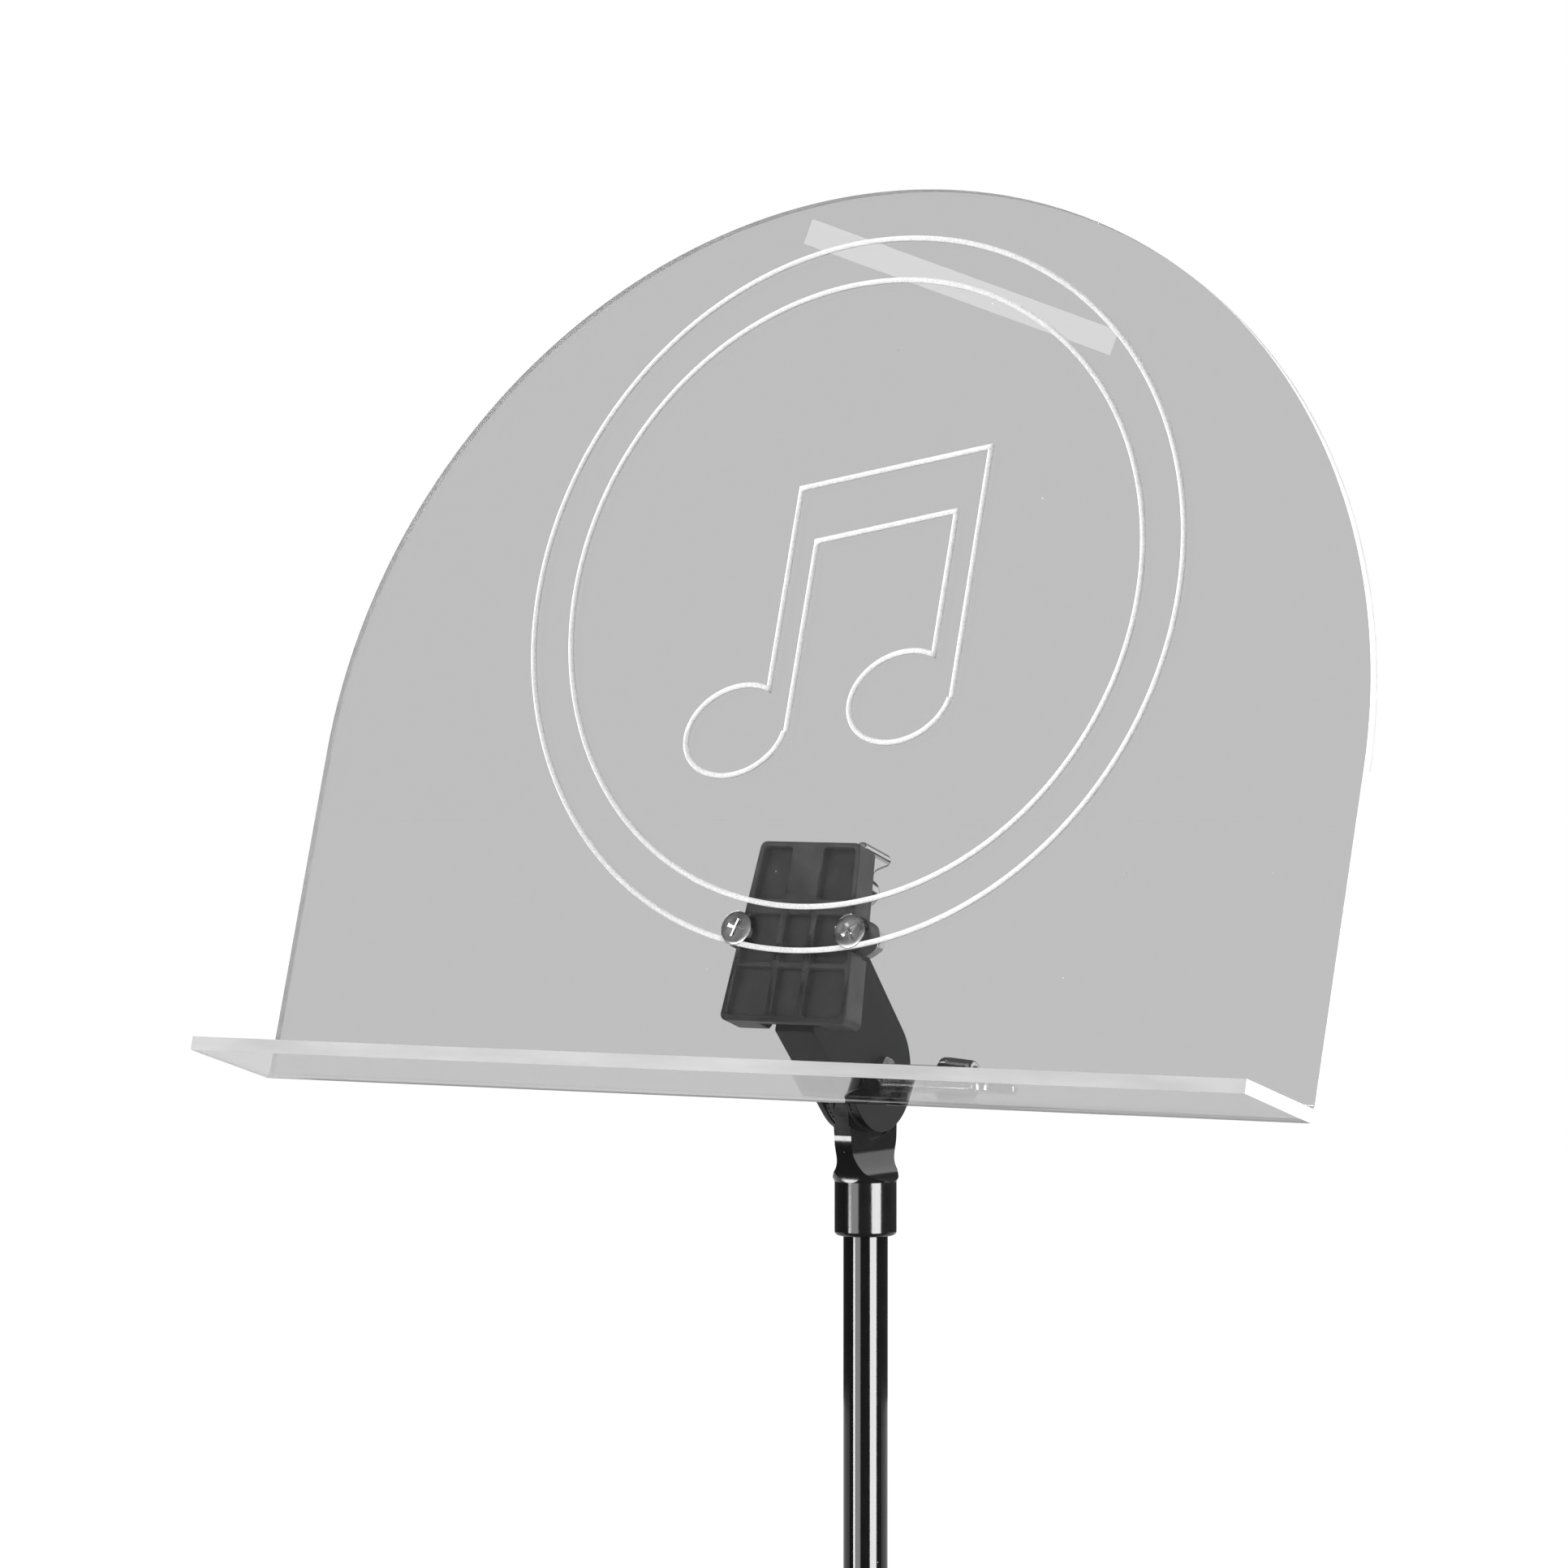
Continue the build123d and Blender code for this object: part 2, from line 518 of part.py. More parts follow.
def stand_adapter():
    height = SCOOP_TOP_Z - ADAPTER_Z
    body = Pos(0, 0, ADAPTER_Z + height / 2) * Cylinder(ADAPTER_R, height)
    body = fillet(body.edges().filter_by(GeomType.CIRCLE).sort_by(Axis.Z)[0], 1.6)
    flared = extrude(Plane.YZ * adapter_blade(), ADAPTER_R, both=True)
    flare_height = FLARE_TOP_Z - BODY_TOP_Z
    rounded = Pos(0, 0, BODY_TOP_Z + flare_height / 2) * Cone(ADAPTER_R, FLARE_TOP_R, flare_height)
    rounded += Pos(0, 0, FLARE_TOP_Z + 50) * Cylinder(60, 100)
    shape = body + (flared & rounded)
    for side in (-1, 1):
        centre_x = side * (BLADE_HALF + SCOOP_R)
        shape -= Pos(centre_x, 0, SCOOP_TOP_Z) * Rot(90, 0, 0) * Cylinder(SCOOP_R, 80)
        shape -= Pos(side * (BLADE_HALF + 20), 0, SCOOP_TOP_Z + 50) * Box(40, 80, 100)
        recess = Rot(0, 90 * side, 0) * Pos(0, 0, RECESS_HALF + 10) * Cylinder(RECESS_R, 20)
        shape -= pivot * recess
    bore = Rot(0, 90, 0) * Cylinder(M6_CLEARANCE_R, 60)
    shape -= pivot * bore
    shape -= Pos(0, 0, ADAPTER_Z + STUD_HOLE_DEPTH / 2) * Cylinder(STUD_HOLE_R, STUD_HOLE_DEPTH)
    return shape


parts["stand_adapter"] = stand_adapter()


# ---------------------------------------------------------------- extension tube
STUD_PLUG_LENGTH = 20.0


def tube_stud():
    """Threaded stud whose plug is pressed into the top of the tube."""
    plug_r = TUBE_R - TUBE_WALL
    plug = Pos(0, 0, TUBE_LENGTH - STUD_PLUG_LENGTH / 2) * Cylinder(plug_r, STUD_PLUG_LENGTH)
    thread_length = STUD_HOLE_DEPTH - 0.8
    thread = Pos(0, 0, TUBE_LENGTH + thread_length / 2) * Cylinder(STUD_THREAD_R, thread_length)
    top = thread.edges().filter_by(GeomType.CIRCLE).sort_by(Axis.Z)[-1]
    return plug + chamfer(top, 0.8)


def extension_tube():
    wall = Cylinder(TUBE_R, TUBE_LENGTH) - Cylinder(TUBE_R - TUBE_WALL, TUBE_LENGTH)
    return Pos(0, 0, TUBE_LENGTH / 2) * wall


parts["tube_stud"] = tube_stud()
parts["extension_tube"] = extension_tube()


# ---------------------------------------------------------------- write the sub-parts
os.makedirs("parts", exist_ok=True)
for node, shape in parts.items():
    export_step(shape, "parts/" + node + ".step")
    box = shape.bounding_box()
    print(node, len(shape.solids()), round(shape.volume, 1), box.min, box.max)
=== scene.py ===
import json
from math import acos, atan2, cos, floor, pi, radians, sin, tan

import bmesh
import bpy
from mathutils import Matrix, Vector


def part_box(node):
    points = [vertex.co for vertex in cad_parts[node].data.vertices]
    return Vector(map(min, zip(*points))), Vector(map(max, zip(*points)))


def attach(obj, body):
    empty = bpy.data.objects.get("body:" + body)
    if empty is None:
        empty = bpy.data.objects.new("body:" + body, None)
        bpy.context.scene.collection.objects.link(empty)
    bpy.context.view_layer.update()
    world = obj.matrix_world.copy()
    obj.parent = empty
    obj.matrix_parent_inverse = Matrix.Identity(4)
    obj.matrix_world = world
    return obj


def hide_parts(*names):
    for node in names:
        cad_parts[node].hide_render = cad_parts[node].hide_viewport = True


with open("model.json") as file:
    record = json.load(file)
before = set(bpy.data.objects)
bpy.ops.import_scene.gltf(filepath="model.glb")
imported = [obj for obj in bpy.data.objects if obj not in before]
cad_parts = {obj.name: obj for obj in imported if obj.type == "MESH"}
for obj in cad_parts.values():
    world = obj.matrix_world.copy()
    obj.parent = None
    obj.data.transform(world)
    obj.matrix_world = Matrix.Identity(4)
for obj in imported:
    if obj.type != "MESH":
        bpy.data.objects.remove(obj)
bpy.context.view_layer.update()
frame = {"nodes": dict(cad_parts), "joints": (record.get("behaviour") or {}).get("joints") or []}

# Clear acrylic shield on a tilting stand head.  Metres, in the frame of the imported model.

MM = 0.001
nodes = frame["nodes"]
joints = {joint["name"]: joint for joint in frame["joints"]}

# The shield's own directions: x across it, v up its front face, n out of the front face.
ACROSS = Vector((1, 0, 0))
UP_SHIELD = Vector(joints["desk_lift"]["axis"]).normalized()
OUT_OF_FACE = ACROSS.cross(UP_SHIELD)
BEND_LINE = Vector((0, -65.52, 207.37)) * MM    # where the shield's front face meets the ledge
SHEET = 5.0 * MM


def on_shield(x, v, n):
    return BEND_LINE + x * ACROSS + v * UP_SHIELD + n * OUT_OF_FACE


def shield_coordinates(point):
    offset = point - BEND_LINE
    return offset.dot(ACROSS), offset.dot(UP_SHIELD), offset.dot(OUT_OF_FACE)


# ---------------------------------------------------------------- materials
class Finish:
    """A Principled material with helpers for its procedural detail, in object coordinates."""

    def __init__(self, name, **values):
        self.material = bpy.data.materials.new(name)
        self.material.use_nodes = True
        self.tree = self.material.node_tree
        self.shader = self.tree.nodes["Principled BSDF"]
        self.coordinates = self.tree.nodes.new("ShaderNodeTexCoord").outputs["Object"]
        for socket, value in values.items():
            self.shader.inputs[socket.replace("_", " ")].default_value = value

    def node(self, kind, links=(), **values):
        made = self.tree.nodes.new(kind)
        for key, value in values.items():
            setattr(made, key, value)
        for socket, source in links:
            if hasattr(source, "is_output"):
                self.tree.links.new(source, made.inputs[socket])
            else:
                made.inputs[socket].default_value = source
        return made

    def set(self, socket, source):
        """Drives one of the shader's sockets."""
        self.tree.links.new(source, self.shader.inputs[socket])

    def stretched(self, stretch):
        """Object coordinates, scaled by a different amount along each axis."""
        mapping = self.node("ShaderNodeMapping", [("Vector", self.coordinates), ("Scale", stretch)])
        return mapping.outputs["Vector"]

    def noise(self, scale, detail=3.0, stretch=(1, 1, 1), roughness=0.5):
        made = self.node("ShaderNodeTexNoise", [
            ("Vector", self.stretched(stretch)), ("Scale", scale), ("Detail", detail),
            ("Roughness", roughness)])
        return made.outputs["Fac"]

    def ramp(self, source, low, high, start=0.0, end=1.0):
        """The source's range low..high as start..end, clamped."""
        made = self.node("ShaderNodeMapRange", [
            ("Value", source), ("From Min", low), ("From Max", high), ("To Min", start),
            ("To Max", end)])
        return made.outputs["Result"]

    def specks(self, per_metre, radius, share):
        """Scattered specks: the radius is in cells, and share of the cells hold one."""
        cells = self.node("ShaderNodeTexVoronoi", [
            ("Vector", self.coordinates), ("Scale", per_metre), ("Randomness", 1.0)])
        near = self.ramp(cells.outputs["Distance"], radius, radius * 0.4)
        chosen = self.node("ShaderNodeSeparateColor", [("Color", cells.outputs["Color"])])
        kept = self.node("ShaderNodeMath", [(0, chosen.outputs["Red"]), (1, share)],
                         operation="LESS_THAN")
        both = self.node("ShaderNodeMath", [(0, near), (1, kept.outputs[0])], operation="MULTIPLY")
        return both.outputs[0]

    def mix(self, factor, low, high):
        """A colour between two others; the Mix node's colour sockets are 6, 7 and output 2."""
        made = self.node("ShaderNodeMix", [(0, factor), (6, low), (7, high)], data_type="RGBA")
        return made.outputs[2]

    def add(self, first, second, scale):
        """The first value plus the second one scaled."""
        made = self.node("ShaderNodeMath", [(0, second), (1, scale), (2, first)],
                         operation="MULTIPLY_ADD")
        return made.outputs[0]

    def bump(self, height, depth, strength=1.0):
        made = self.node("ShaderNodeBump", [
            ("Height", height), ("Distance", depth), ("Strength", strength)])
        self.set("Normal", made.outputs["Normal"])


def grey(value, warmth=0.0):
    """A grey, or a yellowish one when it is given some warmth."""
    return (value * (1 + warmth), value, value * (1 - warmth), 1.0)


ACRYLIC_IOR = 1.49
# A grey in the sheet's colour, which darkens everything seen through the clear sheet.
SEEN_THROUGH_GREY = grey(0.535)
DUST_ON_CLEAR = grey(0.95)
DUST_ON_BLACK = grey(0.45)


def acrylic_clear():
    """Polished clear sheet with a little dust."""
    look = Finish("acrylic_clear", IOR=ACRYLIC_IOR)
    dust = look.specks(55, 0.028, 0.3)
    look.set("Base Color", look.mix(dust, SEEN_THROUGH_GREY, DUST_ON_CLEAR))
    look.set("Transmission Weight", look.ramp(dust, 0.0, 1.0, 1.0, 0.2))
    look.set("Roughness", look.ramp(dust, 0.0, 1.0, 0.0, 0.5))
    return look.material


def acrylic_sawn():
    """Sawn edge, clouded along its length."""
    look = Finish("acrylic_sawn", Transmission_Weight=0.45, IOR=ACRYLIC_IOR, Roughness=0.55)
    marks = look.noise(160, 4.0, stretch=(0.2, 1.0, 1.0))
    look.set("Base Color", look.mix(look.ramp(marks, 0.3, 0.7), grey(0.66), grey(0.79)))
    look.bump(look.noise(1800, 2.0), 0.02 * MM, 0.4)
    return look.material


def acrylic_engraved():
    """Frosted floor and walls of an engraved line."""
    look = Finish("acrylic_engraved", Transmission_Weight=0.2, IOR=ACRYLIC_IOR, Roughness=0.7)
    chips = look.noise(1400, 4.0)
    look.set("Base Color", look.mix(look.ramp(chips, 0.3, 0.6), grey(0.66), grey(0.86)))
    look.bump(chips, 0.1 * MM, 0.8)
    return look.material


def black_finish(name, base, roughness, spread, grain, depth, speck_share, specular=0.5):
    """Black paint or plastic: mottled gloss, an even grain and a little dust."""
    look = Finish(name, Specular_IOR_Level=specular)
    dust = look.specks(420, 0.09, speck_share)
    tone = look.mix(look.ramp(look.noise(90, 4.0), 0.3, 0.7), grey(base * 0.8), grey(base * 1.25))
    look.set("Base Color", look.mix(dust, tone, DUST_ON_BLACK))
    wear = look.noise(260, 5.0, roughness=0.6)
    look.set("Roughness", look.ramp(wear, 0.25, 0.75, roughness - spread, roughness + spread))
    look.bump(look.add(look.noise(grain, 3.0), dust, 1.5), depth, 0.7)
    return look.material


def plated(name, base, roughness, warmth=0.0):
    """Bright plated metal: fine scratches, a slight cloudiness and dull spots."""
    look = Finish(name, Metallic=1.0)
    cloud = look.noise(240, 4.0)
    scratches = look.noise(700, 3.0, stretch=(0.25, 1.0, 1.0))
    spots = look.specks(500, 0.12, 0.15)
    tone = look.mix(look.ramp(cloud, 0.3, 0.7), grey(base * 0.88, warmth), grey(base, warmth))
    look.set("Base Color", look.mix(spots, tone, grey(base * 0.5, warmth)))
    look.set("Roughness", look.ramp(cloud, 0.3, 0.7, roughness * 0.7, roughness * 1.4))
    look.bump(scratches, 0.02 * MM, 0.4)
    return look.material


CLEAR = acrylic_clear()
SAWN = acrylic_sawn()
ENGRAVED = acrylic_engraved()
BLOCK_FINISH = black_finish("block_moulding", base=0.15, roughness=0.40, spread=0.10,
                            grain=1600, depth=0.03 * MM, speck_share=0.30)
ARM_FINISH = black_finish("arm_satin", base=0.003, roughness=0.36, spread=0.05,
                          grain=1200, depth=0.015 * MM, speck_share=0.02, specular=0.4)
ADAPTER_FINISH = black_finish("adapter_satin", base=0.005, roughness=0.14, spread=0.03,
                              grain=1500, depth=0.012 * MM, speck_share=0.02)
TUBE_FINISH = black_finish("tube_gloss", base=0.003, roughness=0.09, spread=0.03,
                           grain=700, depth=0.004 * MM, speck_share=0.015)
NYLON_FINISH = black_finish("nylon_washer", base=0.02, roughness=0.5, spread=0.05,
                            grain=1400, depth=0.02 * MM, speck_share=0.02)
TOOTHED_FINISH = black_finish("blackened_steel", base=0.015, roughness=0.28, spread=0.08,
                              grain=1300, depth=0.02 * MM, speck_share=0.03)
CHROME = plated("bright_chrome", base=0.80, roughness=0.12)
SCREW_FINISH = plated("screw_zinc", base=0.78, roughness=0.30)
ZINC = plated("zinc_plate", base=0.70, roughness=0.20)
BRASS = plated("brass_finish", base=0.55, roughness=0.3, warmth=0.35)


# ---------------------------------------------------------------- looks of the CAD nodes
WELD_DISTANCE = 0.002 * MM
SHARP_ANGLE = radians(35)
ARM_EDGE = 0.25 * MM
NUT_EDGE = 0.12 * MM


def soften(width, *names):
    """Rounds the sharp edges of CAD nodes a little, so that they catch the light."""
    for name in names:
        weld = nodes[name].modifiers.new("weld", "WELD")
        weld.merge_threshold = WELD_DISTANCE
        bevel = nodes[name].modifiers.new("bevel", "BEVEL")
        bevel.width = width
        bevel.segments = 2
        bevel.limit_method = "ANGLE"
        bevel.angle_limit = SHARP_ANGLE


def dress(material, *names):
    """Gives a material to whole CAD nodes."""
    for name in names:
        for slot in nodes[name].material_slots:
            slot.material = material


dress(BLOCK_FINISH, "desk_block")
dress(ARM_FINISH, "tilt_arm")
dress(ADAPTER_FINISH, "stand_adapter")
dress(TUBE_FINISH, "extension_tube")
dress(NYLON_FINISH, "friction_disc_left", "friction_disc_right")
dress(TOOTHED_FINISH, "serrated_disc_left", "serrated_disc_right")
dress(CHROME, "tilt_wing_head", "clamp_wing_head")
dress(ZINC, "clamp_washer", "panel_washer_left", "panel_washer_right", "panel_nut_left",
      "panel_nut_right", "tilt_jam_nut", "tilt_lock_nut", "tube_stud")
dress(BRASS, "block_insert")
soften(ARM_EDGE, "tilt_arm")
soften(NUT_EDGE, "tilt_jam_nut", "tilt_lock_nut", "panel_nut_left", "panel_nut_right")


# ---------------------------------------------------------------- shield panel
HALF_WIDTH = max(abs(corner.x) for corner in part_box("shield_panel"))
SHIELD_TOP = max(shield_coordinates(vertex.co)[1] for vertex in nodes["shield_panel"].data.vertices)
ARCH_CENTRE_V = SHIELD_TOP - HALF_WIDTH
ARCH_STEPS = 180
CIRCLE_STEPS = 240
HOLE_STEPS = 64
NOTE_STEPS = 60                                # round each quaver's head
LEDGE_TURN = radians(92.3)                     # inside angle between the ledge and the shield
LEDGE_DEPTH = 50.0 * MM
BEND_INNER_R = 1.5 * MM
BEND_STEPS = 24
RING_RADII = (133.2 * MM, 117.2 * MM)
RING_CENTRE_V = 182.7 * MM
GROOVE_WIDTH = 2.0 * MM
GROOVE_DEPTH = 0.8 * MM
SCREW_HOLE_R = 3.3 * MM
SINK_R = 6.35 * MM
NOTE_HEAD = (21.0 * MM, 16.38 * MM)            # half axes of a quaver's head
NOTE_TURN = radians(20)
NOTE_STEM = 10.0 * MM
NOTE_GAP = 66.0 * MM
NOTE_HEIGHT = 92.0 * MM
NOTE_BEAM = 22.0 * MM
NOTE_SLOPE = 0.2


def circle(radius, centre, steps=CIRCLE_STEPS):
    turns = [2 * pi * step / steps for step in range(steps)]
    return [(centre[0] + radius * cos(t), centre[1] + radius * sin(t)) for t in turns]


def arch_outline():
    """The flat part of the sheet, from the bend up: two straight sides and the half-round top."""
    low = BEND_INNER_R / tan(LEDGE_TURN / 2)
    arc = [pi * step / ARCH_STEPS for step in range(ARCH_STEPS + 1)]
    top = [(HALF_WIDTH * cos(t), ARCH_CENTRE_V + HALF_WIDTH * sin(t)) for t in arc]
    return [(-HALF_WIDTH, low), (HALF_WIDTH, low)] + top


def ledge_section():
    """Pairs of inner and outer points, in (v, n), round the bend and out along the ledge."""
    centre = (BEND_INNER_R / tan(LEDGE_TURN / 2), BEND_INNER_R)
    pairs = []
    for step in range(1, BEND_STEPS + 1):
        angle = -pi / 2 - (pi - LEDGE_TURN) * step / BEND_STEPS
        pairs.append([(centre[0] + r * cos(angle), centre[1] + r * sin(angle))
                      for r in (BEND_INNER_R, BEND_INNER_R + SHEET)])
    reach = LEDGE_DEPTH - centre[0]
    pairs.append([(v + reach * cos(LEDGE_TURN), n + reach * sin(LEDGE_TURN)) for v, n in pairs[-1]])
    return pairs


def fill(bm, loops, material):
    """Flat face bounded by loops of vertices, the first outside and the others holes in it."""
    edges = []
    for loop in loops:
        edges += [bm.edges.get(pair) or bm.edges.new(pair) for pair in zip(loop, loop[1:] + loop[:1])]
    made = bmesh.ops.triangle_fill(bm, use_beauty=True, edges=edges)
    for face in made["geom"]:
        if isinstance(face, bmesh.types.BMFace):
            face.material_index = material


def wall(bm, first, second, material, smooth=True):
    """Quads between two closed loops of the same length."""
    count = len(first)
    for i in range(count):
        after = (i + 1) % count
        face = bm.faces.new((first[i], first[after], second[after], second[i]))
        face.material_index = material
        face.smooth = smooth


def new_piece(name, bm, *materials):
    """A linked object made of the mesh in bm, with its faces turned outwards."""
    bmesh.ops.recalc_face_normals(bm, faces=bm.faces)
    mesh = bpy.data.meshes.new(name)
    bm.to_mesh(mesh)
    bm.free()
    for material in materials:
        mesh.materials.append(material)
    piece = bpy.data.objects.new(name, mesh)
    bpy.context.collection.objects.link(piece)
    return piece


def sheet_blank():
    """The bent sheet without its holes and engraving: clear faces and sawn edges."""
    bm = bmesh.new()
    outline = arch_outline()
    front = [bm.verts.new(on_shield(x, v, 0)) for x, v in outline]
    rear = [bm.verts.new(on_shield(x, v, -SHEET)) for x, v in outline]
    fill(bm, [front], 0)
    fill(bm, [rear], 0)
    for i in range(1, len(outline)):
        after = (i + 1) % len(outline)
        face = bm.faces.new((front[i], front[after], rear[after], rear[i]))
        face.material_index = 1
        face.smooth = 1 < i < len(outline) - 1
    last = (front[0], front[1], rear[0], rear[1])
    pairs = ledge_section()
    for index, (inner, outer) in enumerate(pairs):
        ring = [bm.verts.new(on_shield(x, v, n)) for v, n in (inner, outer)
                for x in (-HALF_WIDTH, HALF_WIDTH)]
        curved = index < len(pairs) - 1
        for a, b, material in ((0, 1, 0), (2, 3, 0), (0, 2, 1), (1, 3, 1)):
            face = bm.faces.new((last[a], last[b], ring[b], ring[a]))
            face.material_index = material
            face.smooth = curved and material == 0
        last = ring
    front_edge = bm.faces.new((last[0], last[1], last[3], last[2]))
    front_edge.material_index = 1
    return new_piece("clear_shield", bm, CLEAR, SAWN)


def quaver_pair(grow):
    """Outline of two note heads, their stems and a sloping beam, grown all round."""
    half_a, half_b = NOTE_HEAD[0] + grow, NOTE_HEAD[1] + grow
    reach = ((half_a * cos(NOTE_TURN)) ** 2 + (half_b * sin(NOTE_TURN)) ** 2) ** 0.5
    lag = atan2(half_b * sin(NOTE_TURN), half_a * cos(NOTE_TURN))
    level = -atan2(half_a * sin(NOTE_TURN), half_b * cos(NOTE_TURN))
    lift = grow * (1 + NOTE_SLOPE ** 2) ** 0.5
    top = NOTE_HEIGHT / 2 + lift
    bottom = NOTE_HEIGHT / 2 - NOTE_BEAM - lift
    shift = NOTE_HEAD[0] / 2
    points = []
    for side in (1, -1):
        stem = side * NOTE_GAP / 2
        left, right = stem - NOTE_STEM / 2 - grow, stem + NOTE_STEM / 2 + grow
        head_x, head_y = stem + NOTE_STEM / 2 - NOTE_HEAD[0], -NOTE_HEIGHT / 2 + stem * NOTE_SLOPE
        points.append((right, (top if side > 0 else bottom) + right * NOTE_SLOPE))
        points.append((right, head_y))
        end = acos((left - head_x) / reach) - lag - 2 * pi
        for step in range(NOTE_STEPS + 1):
            t = level + (end - level) * step / NOTE_STEPS
            points.append((head_x + half_a * cos(t) * cos(NOTE_TURN) - half_b * sin(t) * sin(NOTE_TURN),
                           head_y + half_a * cos(t) * sin(NOTE_TURN) + half_b * sin(t) * cos(NOTE_TURN)))
        points.append((left, (bottom if side > 0 else top) + left * NOTE_SLOPE))
    return [(x + shift, RING_CENTRE_V + y) for x, y in points]


def groove_cutter(outer, inner):
    """A closed band between two outlines, cut into the front face."""
    bm = bmesh.new()
    levels = []
    for n in (-GROOVE_DEPTH, GROOVE_DEPTH):
        levels.append([[bm.verts.new(on_shield(x, v, n)) for x, v in loop] for loop in (outer, inner)])
    for loops in levels:
        fill(bm, loops, 0)
    for low, high in zip(*levels):
        wall(bm, low, high, 0, smooth=len(low) == CIRCLE_STEPS)
    return new_piece("cutter", bm, ENGRAVED)


def screw_cutter(centre):
    """A countersunk through hole."""
    bm = bmesh.new()
    depth = SINK_R - SCREW_HOLE_R
    past = 1 * MM
    stations = ((SINK_R, past), (SINK_R, 0), (SCREW_HOLE_R, -depth), (SCREW_HOLE_R, -SHEET - past))
    loops = [[bm.verts.new(on_shield(x, v, n)) for x, v in circle(radius, centre, HOLE_STEPS)]
             for radius, n in stations]
    for low, high in zip(loops, loops[1:]):
        wall(bm, low, high, 0)
    bm.faces.new(loops[0])
    bm.faces.new(loops[-1])
    return new_piece("cutter", bm, CLEAR)


def screw_place(side):
    """Across and up the shield, where a panel screw's axis meets the front face."""
    spots = [shield_coordinates(vertex.co) for vertex in nodes["panel_screw_" + side].data.vertices]
    return tuple((min(s[axis] for s in spots) + max(s[axis] for s in spots)) / 2 for axis in (0, 1))


def cut(piece, cutters):
    """Cuts closed pieces out of another one, and deletes them."""
    for cutter in cutters:
        step = piece.modifiers.new("cut", "BOOLEAN")
        step.operation = "DIFFERENCE"
        step.solver = "EXACT"
        step.material_mode = "TRANSFER"
        step.object = cutter
    evaluated = piece.evaluated_get(bpy.context.evaluated_depsgraph_get())
    done = bpy.data.meshes.new_from_object(evaluated)
    piece.modifiers.clear()
    piece.data = done
    for cutter in cutters:
        bpy.data.objects.remove(cutter)


def shield_piece():
    piece = sheet_blank()
    centre = (0.0, RING_CENTRE_V)
    half = GROOVE_WIDTH / 2
    cutters = [groove_cutter(circle(radius + half, centre), circle(radius - half, centre))
               for radius in RING_RADII]
    cutters.append(groove_cutter(quaver_pair(half), quaver_pair(-half)))
    cutters += [screw_cutter(screw_place(side)) for side in ("left", "right")]
    cut(piece, cutters)
    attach(piece, "desk")
    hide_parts("shield_panel")


shield_piece()


# ---------------------------------------------------------------- threads
M6_MAJOR = 2.98 * MM
M6_PITCH = 1.0 * MM
M6_MINOR = M6_MAJOR - 0.61 * M6_PITCH
M6_TIP = 0.6 * MM                              # chamfer at the free end
FLANK, ROOT = 1.35, 0.12                       # steepness of the flanks, and the root's share
THREAD_SIDES = 36
RINGS_PER_TURN = 8


def thread_radius(turns):
    """Radius of the thread form at a height counted in turns."""
    rise = abs((turns - floor(turns)) * 2 - 1)
    return M6_MINOR + (M6_MAJOR - M6_MINOR) * min(1.0, max(0.0, rise * FLANK - ROOT))


def add_thread(bm, start, direction, length):
    """Adds a closed rod with a helical M6 thread, from its free end at start along direction."""
    rings = int(length / M6_PITCH * RINGS_PER_TURN)
    turned = direction.to_track_quat("Z", "Y").to_matrix()
    grid = []
    for ring in range(rings + 1):
        z = length * ring / rings
        row = []
        for step in range(THREAD_SIDES):
            angle = 2 * pi * step / THREAD_SIDES
            radius = min(thread_radius(z / M6_PITCH + step / THREAD_SIDES), M6_MAJOR - M6_TIP + z)
            point = turned @ Vector((radius * cos(angle), radius * sin(angle), z))
            row.append(bm.verts.new(start + point))
        grid.append(row)
    for lower, upper in zip(grid, grid[1:]):
        wall(bm, lower, upper, 0)
    bm.faces.new(reversed(grid[0]))
    bm.faces.new(grid[-1])


def threaded_rod(name, start, direction, length, body, node):
    """A threaded stud that stands for a CAD node."""
    bm = bmesh.new()
    add_thread(bm, start, direction, length)
    rod = new_piece(name, bm, ZINC)
    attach(rod, body)
    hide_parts(node)


def tilt_rod():
    low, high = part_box("tilt_stud")
    start = Vector((low.x, (low.y + high.y) / 2, (low.z + high.z) / 2))
    threaded_rod("tilt_screw_rod", start, ACROSS, high.x - low.x, "tilt_screw", "tilt_stud")


def clamp_rod():
    span = [shield_coordinates(vertex.co) for vertex in nodes["clamp_stud"].data.vertices]
    heights = [n for x, v, n in span]
    middle_v = (min(v for x, v, n in span) + max(v for x, v, n in span)) / 2
    start = on_shield(0, middle_v, max(heights))
    length = max(heights) - min(heights)
    threaded_rod("clamp_screw_rod", start, -OUT_OF_FACE, length, "clamp_screw", "clamp_stud")


tilt_rod()
clamp_rod()


# ---------------------------------------------------------------- panel screws
# Millimetres: the head's radius and height, from its flat top down to a stub of shank.
HEAD_PROFILE = ((4.6, 0.0), (5.5, -0.06), (6.0, -0.25), (6.25, -0.6), (3.0, -3.9), (3.0, -4.6))
# Millimetres: height, span and width of the cross recess, from above the head to its foot.
CROSS_LEVELS = ((0.3, 7.5, 2.0), (-0.25, 6.4, 0.95), (-2.3, 3.4, 0.7))
HEAD_STEPS = 72
THREAD_TOP = -4.0 * MM                         # where the thread ends, inside the stub


def cross_outline(span, width):
    """The twelve corners of an upright cross."""
    a, b = span / 2, width / 2
    return [(a, b), (b, b), (b, a), (-b, a), (-b, b), (-a, b),
            (-a, -b), (-b, -b), (-b, -a), (b, -a), (b, -b), (a, -b)]


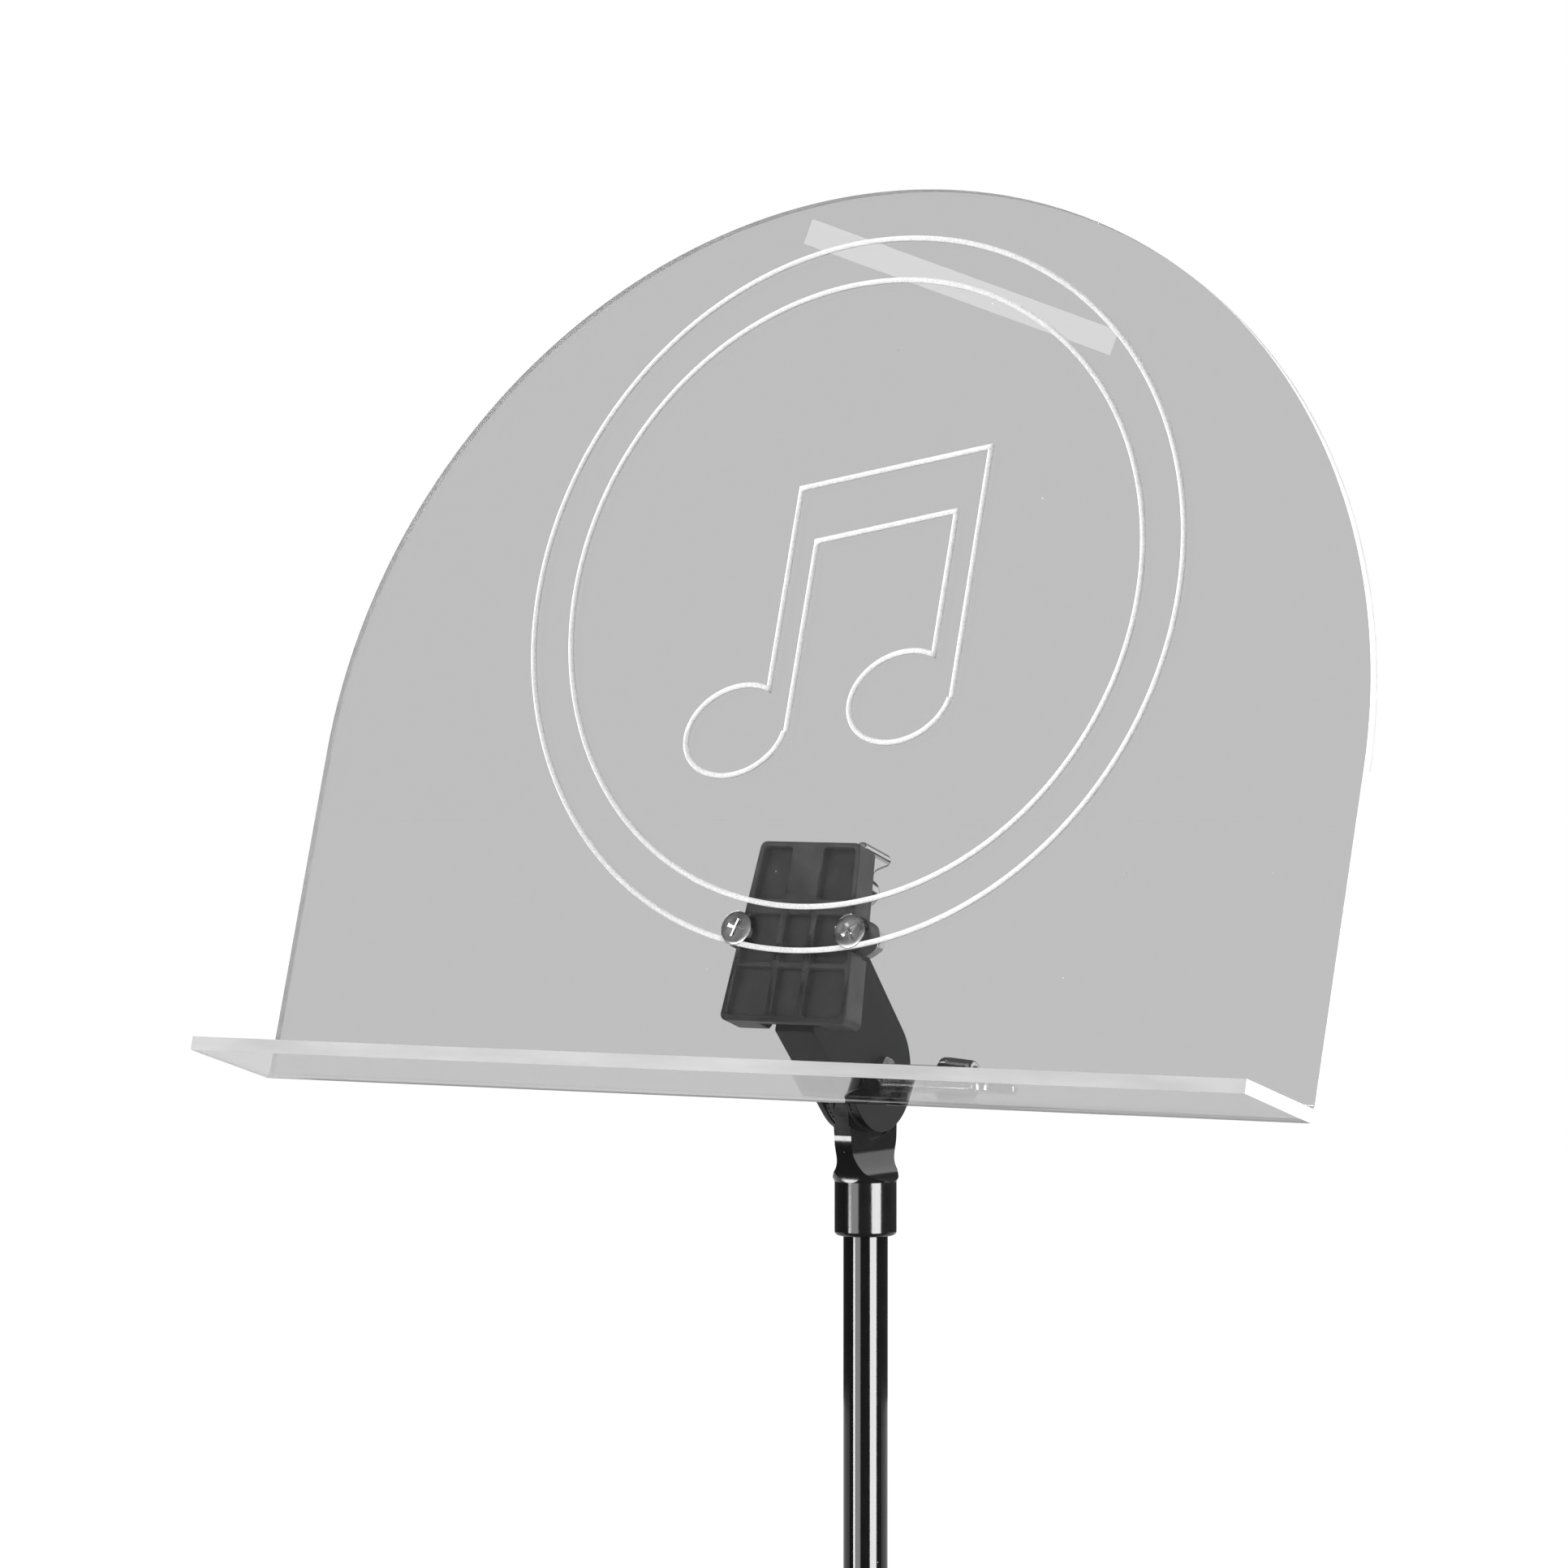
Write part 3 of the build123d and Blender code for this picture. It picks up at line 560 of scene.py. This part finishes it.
def stacked(levels, smooth):
    """A closed piece of screw metal through stacked loops of shield coordinates."""
    bm = bmesh.new()
    loops = [[bm.verts.new(on_shield(*point)) for point in level] for level in levels]
    for low, high in zip(loops, loops[1:]):
        wall(bm, low, high, 0, smooth)
    bm.faces.new(loops[0])
    bm.faces.new(loops[-1])
    return new_piece("cutter", bm, SCREW_FINISH)


def panel_screw(side, turn):
    """A countersunk screw whose cross recess is turned by an angle."""
    node = "panel_screw_" + side
    x, v = screw_place(side)
    head = stacked([[(across, up, n * MM) for across, up in circle(radius * MM, (x, v), HEAD_STEPS)]
                    for radius, n in HEAD_PROFILE], smooth=True)
    levels = []
    for n, span, width in CROSS_LEVELS:
        turned = [(a * cos(turn) - b * sin(turn), a * sin(turn) + b * cos(turn))
                  for a, b in cross_outline(span, width)]
        levels.append([(x + a * MM, v + b * MM, n * MM) for a, b in turned])
    cut(head, [stacked(levels, smooth=False)])
    foot = min(shield_coordinates(vertex.co)[2] for vertex in nodes[node].data.vertices)
    bm = bmesh.new()
    bm.from_mesh(head.data)
    add_thread(bm, on_shield(x, v, foot), OUT_OF_FACE, THREAD_TOP - foot)
    screw = new_piece("shield_screw_" + side, bm, SCREW_FINISH)
    bpy.data.objects.remove(head)
    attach(screw, "desk")
    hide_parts(node)


panel_screw("left", radians(-18))
panel_screw("right", radians(31))


# ---------------------------------------------------------------- studio
CAMERA_AZIMUTH = radians(31.58)
CAMERA_ELEVATION = radians(1.61)
CAMERA_PLACE = Vector((1.3528, -2.2566, 0.3860))
LENS = 168.55                                  # millimetres, on a sensor SENSOR_WIDTH wide
SENSOR_WIDTH = 36.0
SHIELD_MIDDLE = on_shield(0, ARCH_CENTRE_V, 0)
FLOOR_R = 9.0
CARD_R = 0.8
CARD_HEIGHT = 1 * MM
FLOOR_STEPS = 96
BACKDROP_R = 10.0
WORLD_STRENGTH = 0.10
# Upright boxes of light: the turn to the right of the camera's direction in degrees, the lower
# and upper ends, the distance, the width and the brightness.
SOFTBOXES = (
    ("right_box", 40, -0.5, 1.3, 2.2, 1.4, 19),
    ("left_box", -43, -0.5, 0.45, 2.2, 1.2, 5),
    ("left_strip", -62, -0.33, -0.02, 2.2, 0.35, 22),
    ("back_box", 120, 0.10, 2.0, 2.5, 2.4, 1.3))
# A thin bar high on the left, whose reflection crosses the top of the shield.
BAR_ENDS = (Vector((-1.59, -1.977, 2.115)), Vector((-1.375, -2.079, 2.039)))
BAR_WIDTH = 0.02
BAR_BRIGHTNESS = 4


def make_camera():
    data = bpy.data.cameras.new("camera")
    data.sensor_width = SENSOR_WIDTH
    data.lens = LENS
    data.clip_start, data.clip_end = 0.05, 60.0
    camera = bpy.data.objects.new("camera", data)
    camera.location = CAMERA_PLACE
    camera.rotation_euler = (pi / 2 - CAMERA_ELEVATION, 0, CAMERA_AZIMUTH)
    bpy.context.collection.objects.link(camera)
    bpy.context.scene.camera = camera


def plain_material(name, colour, glow):
    """A matt material that also glows white."""
    material = bpy.data.materials.new(name)
    material.use_nodes = True
    shader = material.node_tree.nodes["Principled BSDF"]
    shader.inputs["Base Color"].default_value = colour
    shader.inputs["Roughness"].default_value = 0.9
    shader.inputs["Specular IOR Level"].default_value = 0.0
    shader.inputs["Emission Color"].default_value = (1, 1, 1, 1)
    shader.inputs["Emission Strength"].default_value = glow
    return material


def studio_piece(name, bm, material):
    """A piece of the studio that lights nothing and throws no shadow."""
    mesh = bpy.data.meshes.new(name)
    bm.to_mesh(mesh)
    bm.free()
    mesh.materials.append(material)
    piece = bpy.data.objects.new(name, mesh)
    bpy.context.collection.objects.link(piece)
    piece.visible_diffuse = False
    piece.visible_shadow = False
    return piece


def flat_shape(radius, turns, height):
    bm = bmesh.new()
    bm.faces.new([bm.verts.new((radius * cos(turn), radius * sin(turn), height)) for turn in turns])
    return bm


def make_floor():
    """A pale floor, and just over it behind the object a greyer card that only reflections show."""
    turns = [CAMERA_AZIMUTH + 2 * pi * step / FLOOR_STEPS for step in range(FLOOR_STEPS)]
    pale = plain_material("pale_floor", grey(0.03), 1.0)
    floor_piece = studio_piece("floor", flat_shape(FLOOR_R, turns, 0.0), pale)
    floor_piece.visible_glossy = False
    turns = [CAMERA_AZIMUTH + pi * step / FLOOR_STEPS for step in range(FLOOR_STEPS + 1)]
    greyer = plain_material("grey_card", grey(0.0), 0.8)
    card = studio_piece("card", flat_shape(CARD_R, turns, CARD_HEIGHT), greyer)
    card.visible_camera = False
    card.visible_transmission = False


def make_backdrop():
    """A white dome round everything, which shows in no reflection."""
    bm = bmesh.new()
    bmesh.ops.create_icosphere(bm, subdivisions=4, radius=BACKDROP_R)
    dome = studio_piece("backdrop", bm, plain_material("white_backdrop", grey(0.0), 1.0))
    dome.visible_glossy = False


def area_light(name, place, target, size, brightness):
    data = bpy.data.lights.new(name, "AREA")
    data.shape = "RECTANGLE"
    data.size, data.size_y = size
    data.energy = brightness * pi * size[0] * size[1]
    light = bpy.data.objects.new(name, data)
    light.location = place
    light.rotation_euler = (target - place).to_track_quat("-Z", "Y").to_euler()
    light.visible_transmission = False
    bpy.context.collection.objects.link(light)


def softbox(name, turn, low, high, distance, width, brightness):
    """An upright box of light, turned to the right from the camera's direction."""
    angle = -pi / 2 + CAMERA_AZIMUTH + radians(turn)
    middle = (low + high) / 2
    place = Vector((distance * cos(angle), distance * sin(angle), middle))
    area_light(name, place, Vector((0, 0, middle)), (width, high - low), brightness)


def make_lights():
    world = bpy.data.worlds.new("studio")
    world.use_nodes = True
    background = world.node_tree.nodes["Background"]
    background.inputs["Color"].default_value = grey(1.0)
    background.inputs["Strength"].default_value = WORLD_STRENGTH
    bpy.context.scene.world = world
    for box in SOFTBOXES:
        softbox(*box)
    upper, lower = BAR_ENDS
    bar_size = ((upper - lower).length, BAR_WIDTH)
    area_light("thin_bar", (upper + lower) / 2, SHIELD_MIDDLE, bar_size, BAR_BRIGHTNESS)


make_camera()
make_floor()
make_backdrop()
make_lights()
bpy.context.scene.view_settings.view_transform = "Standard"
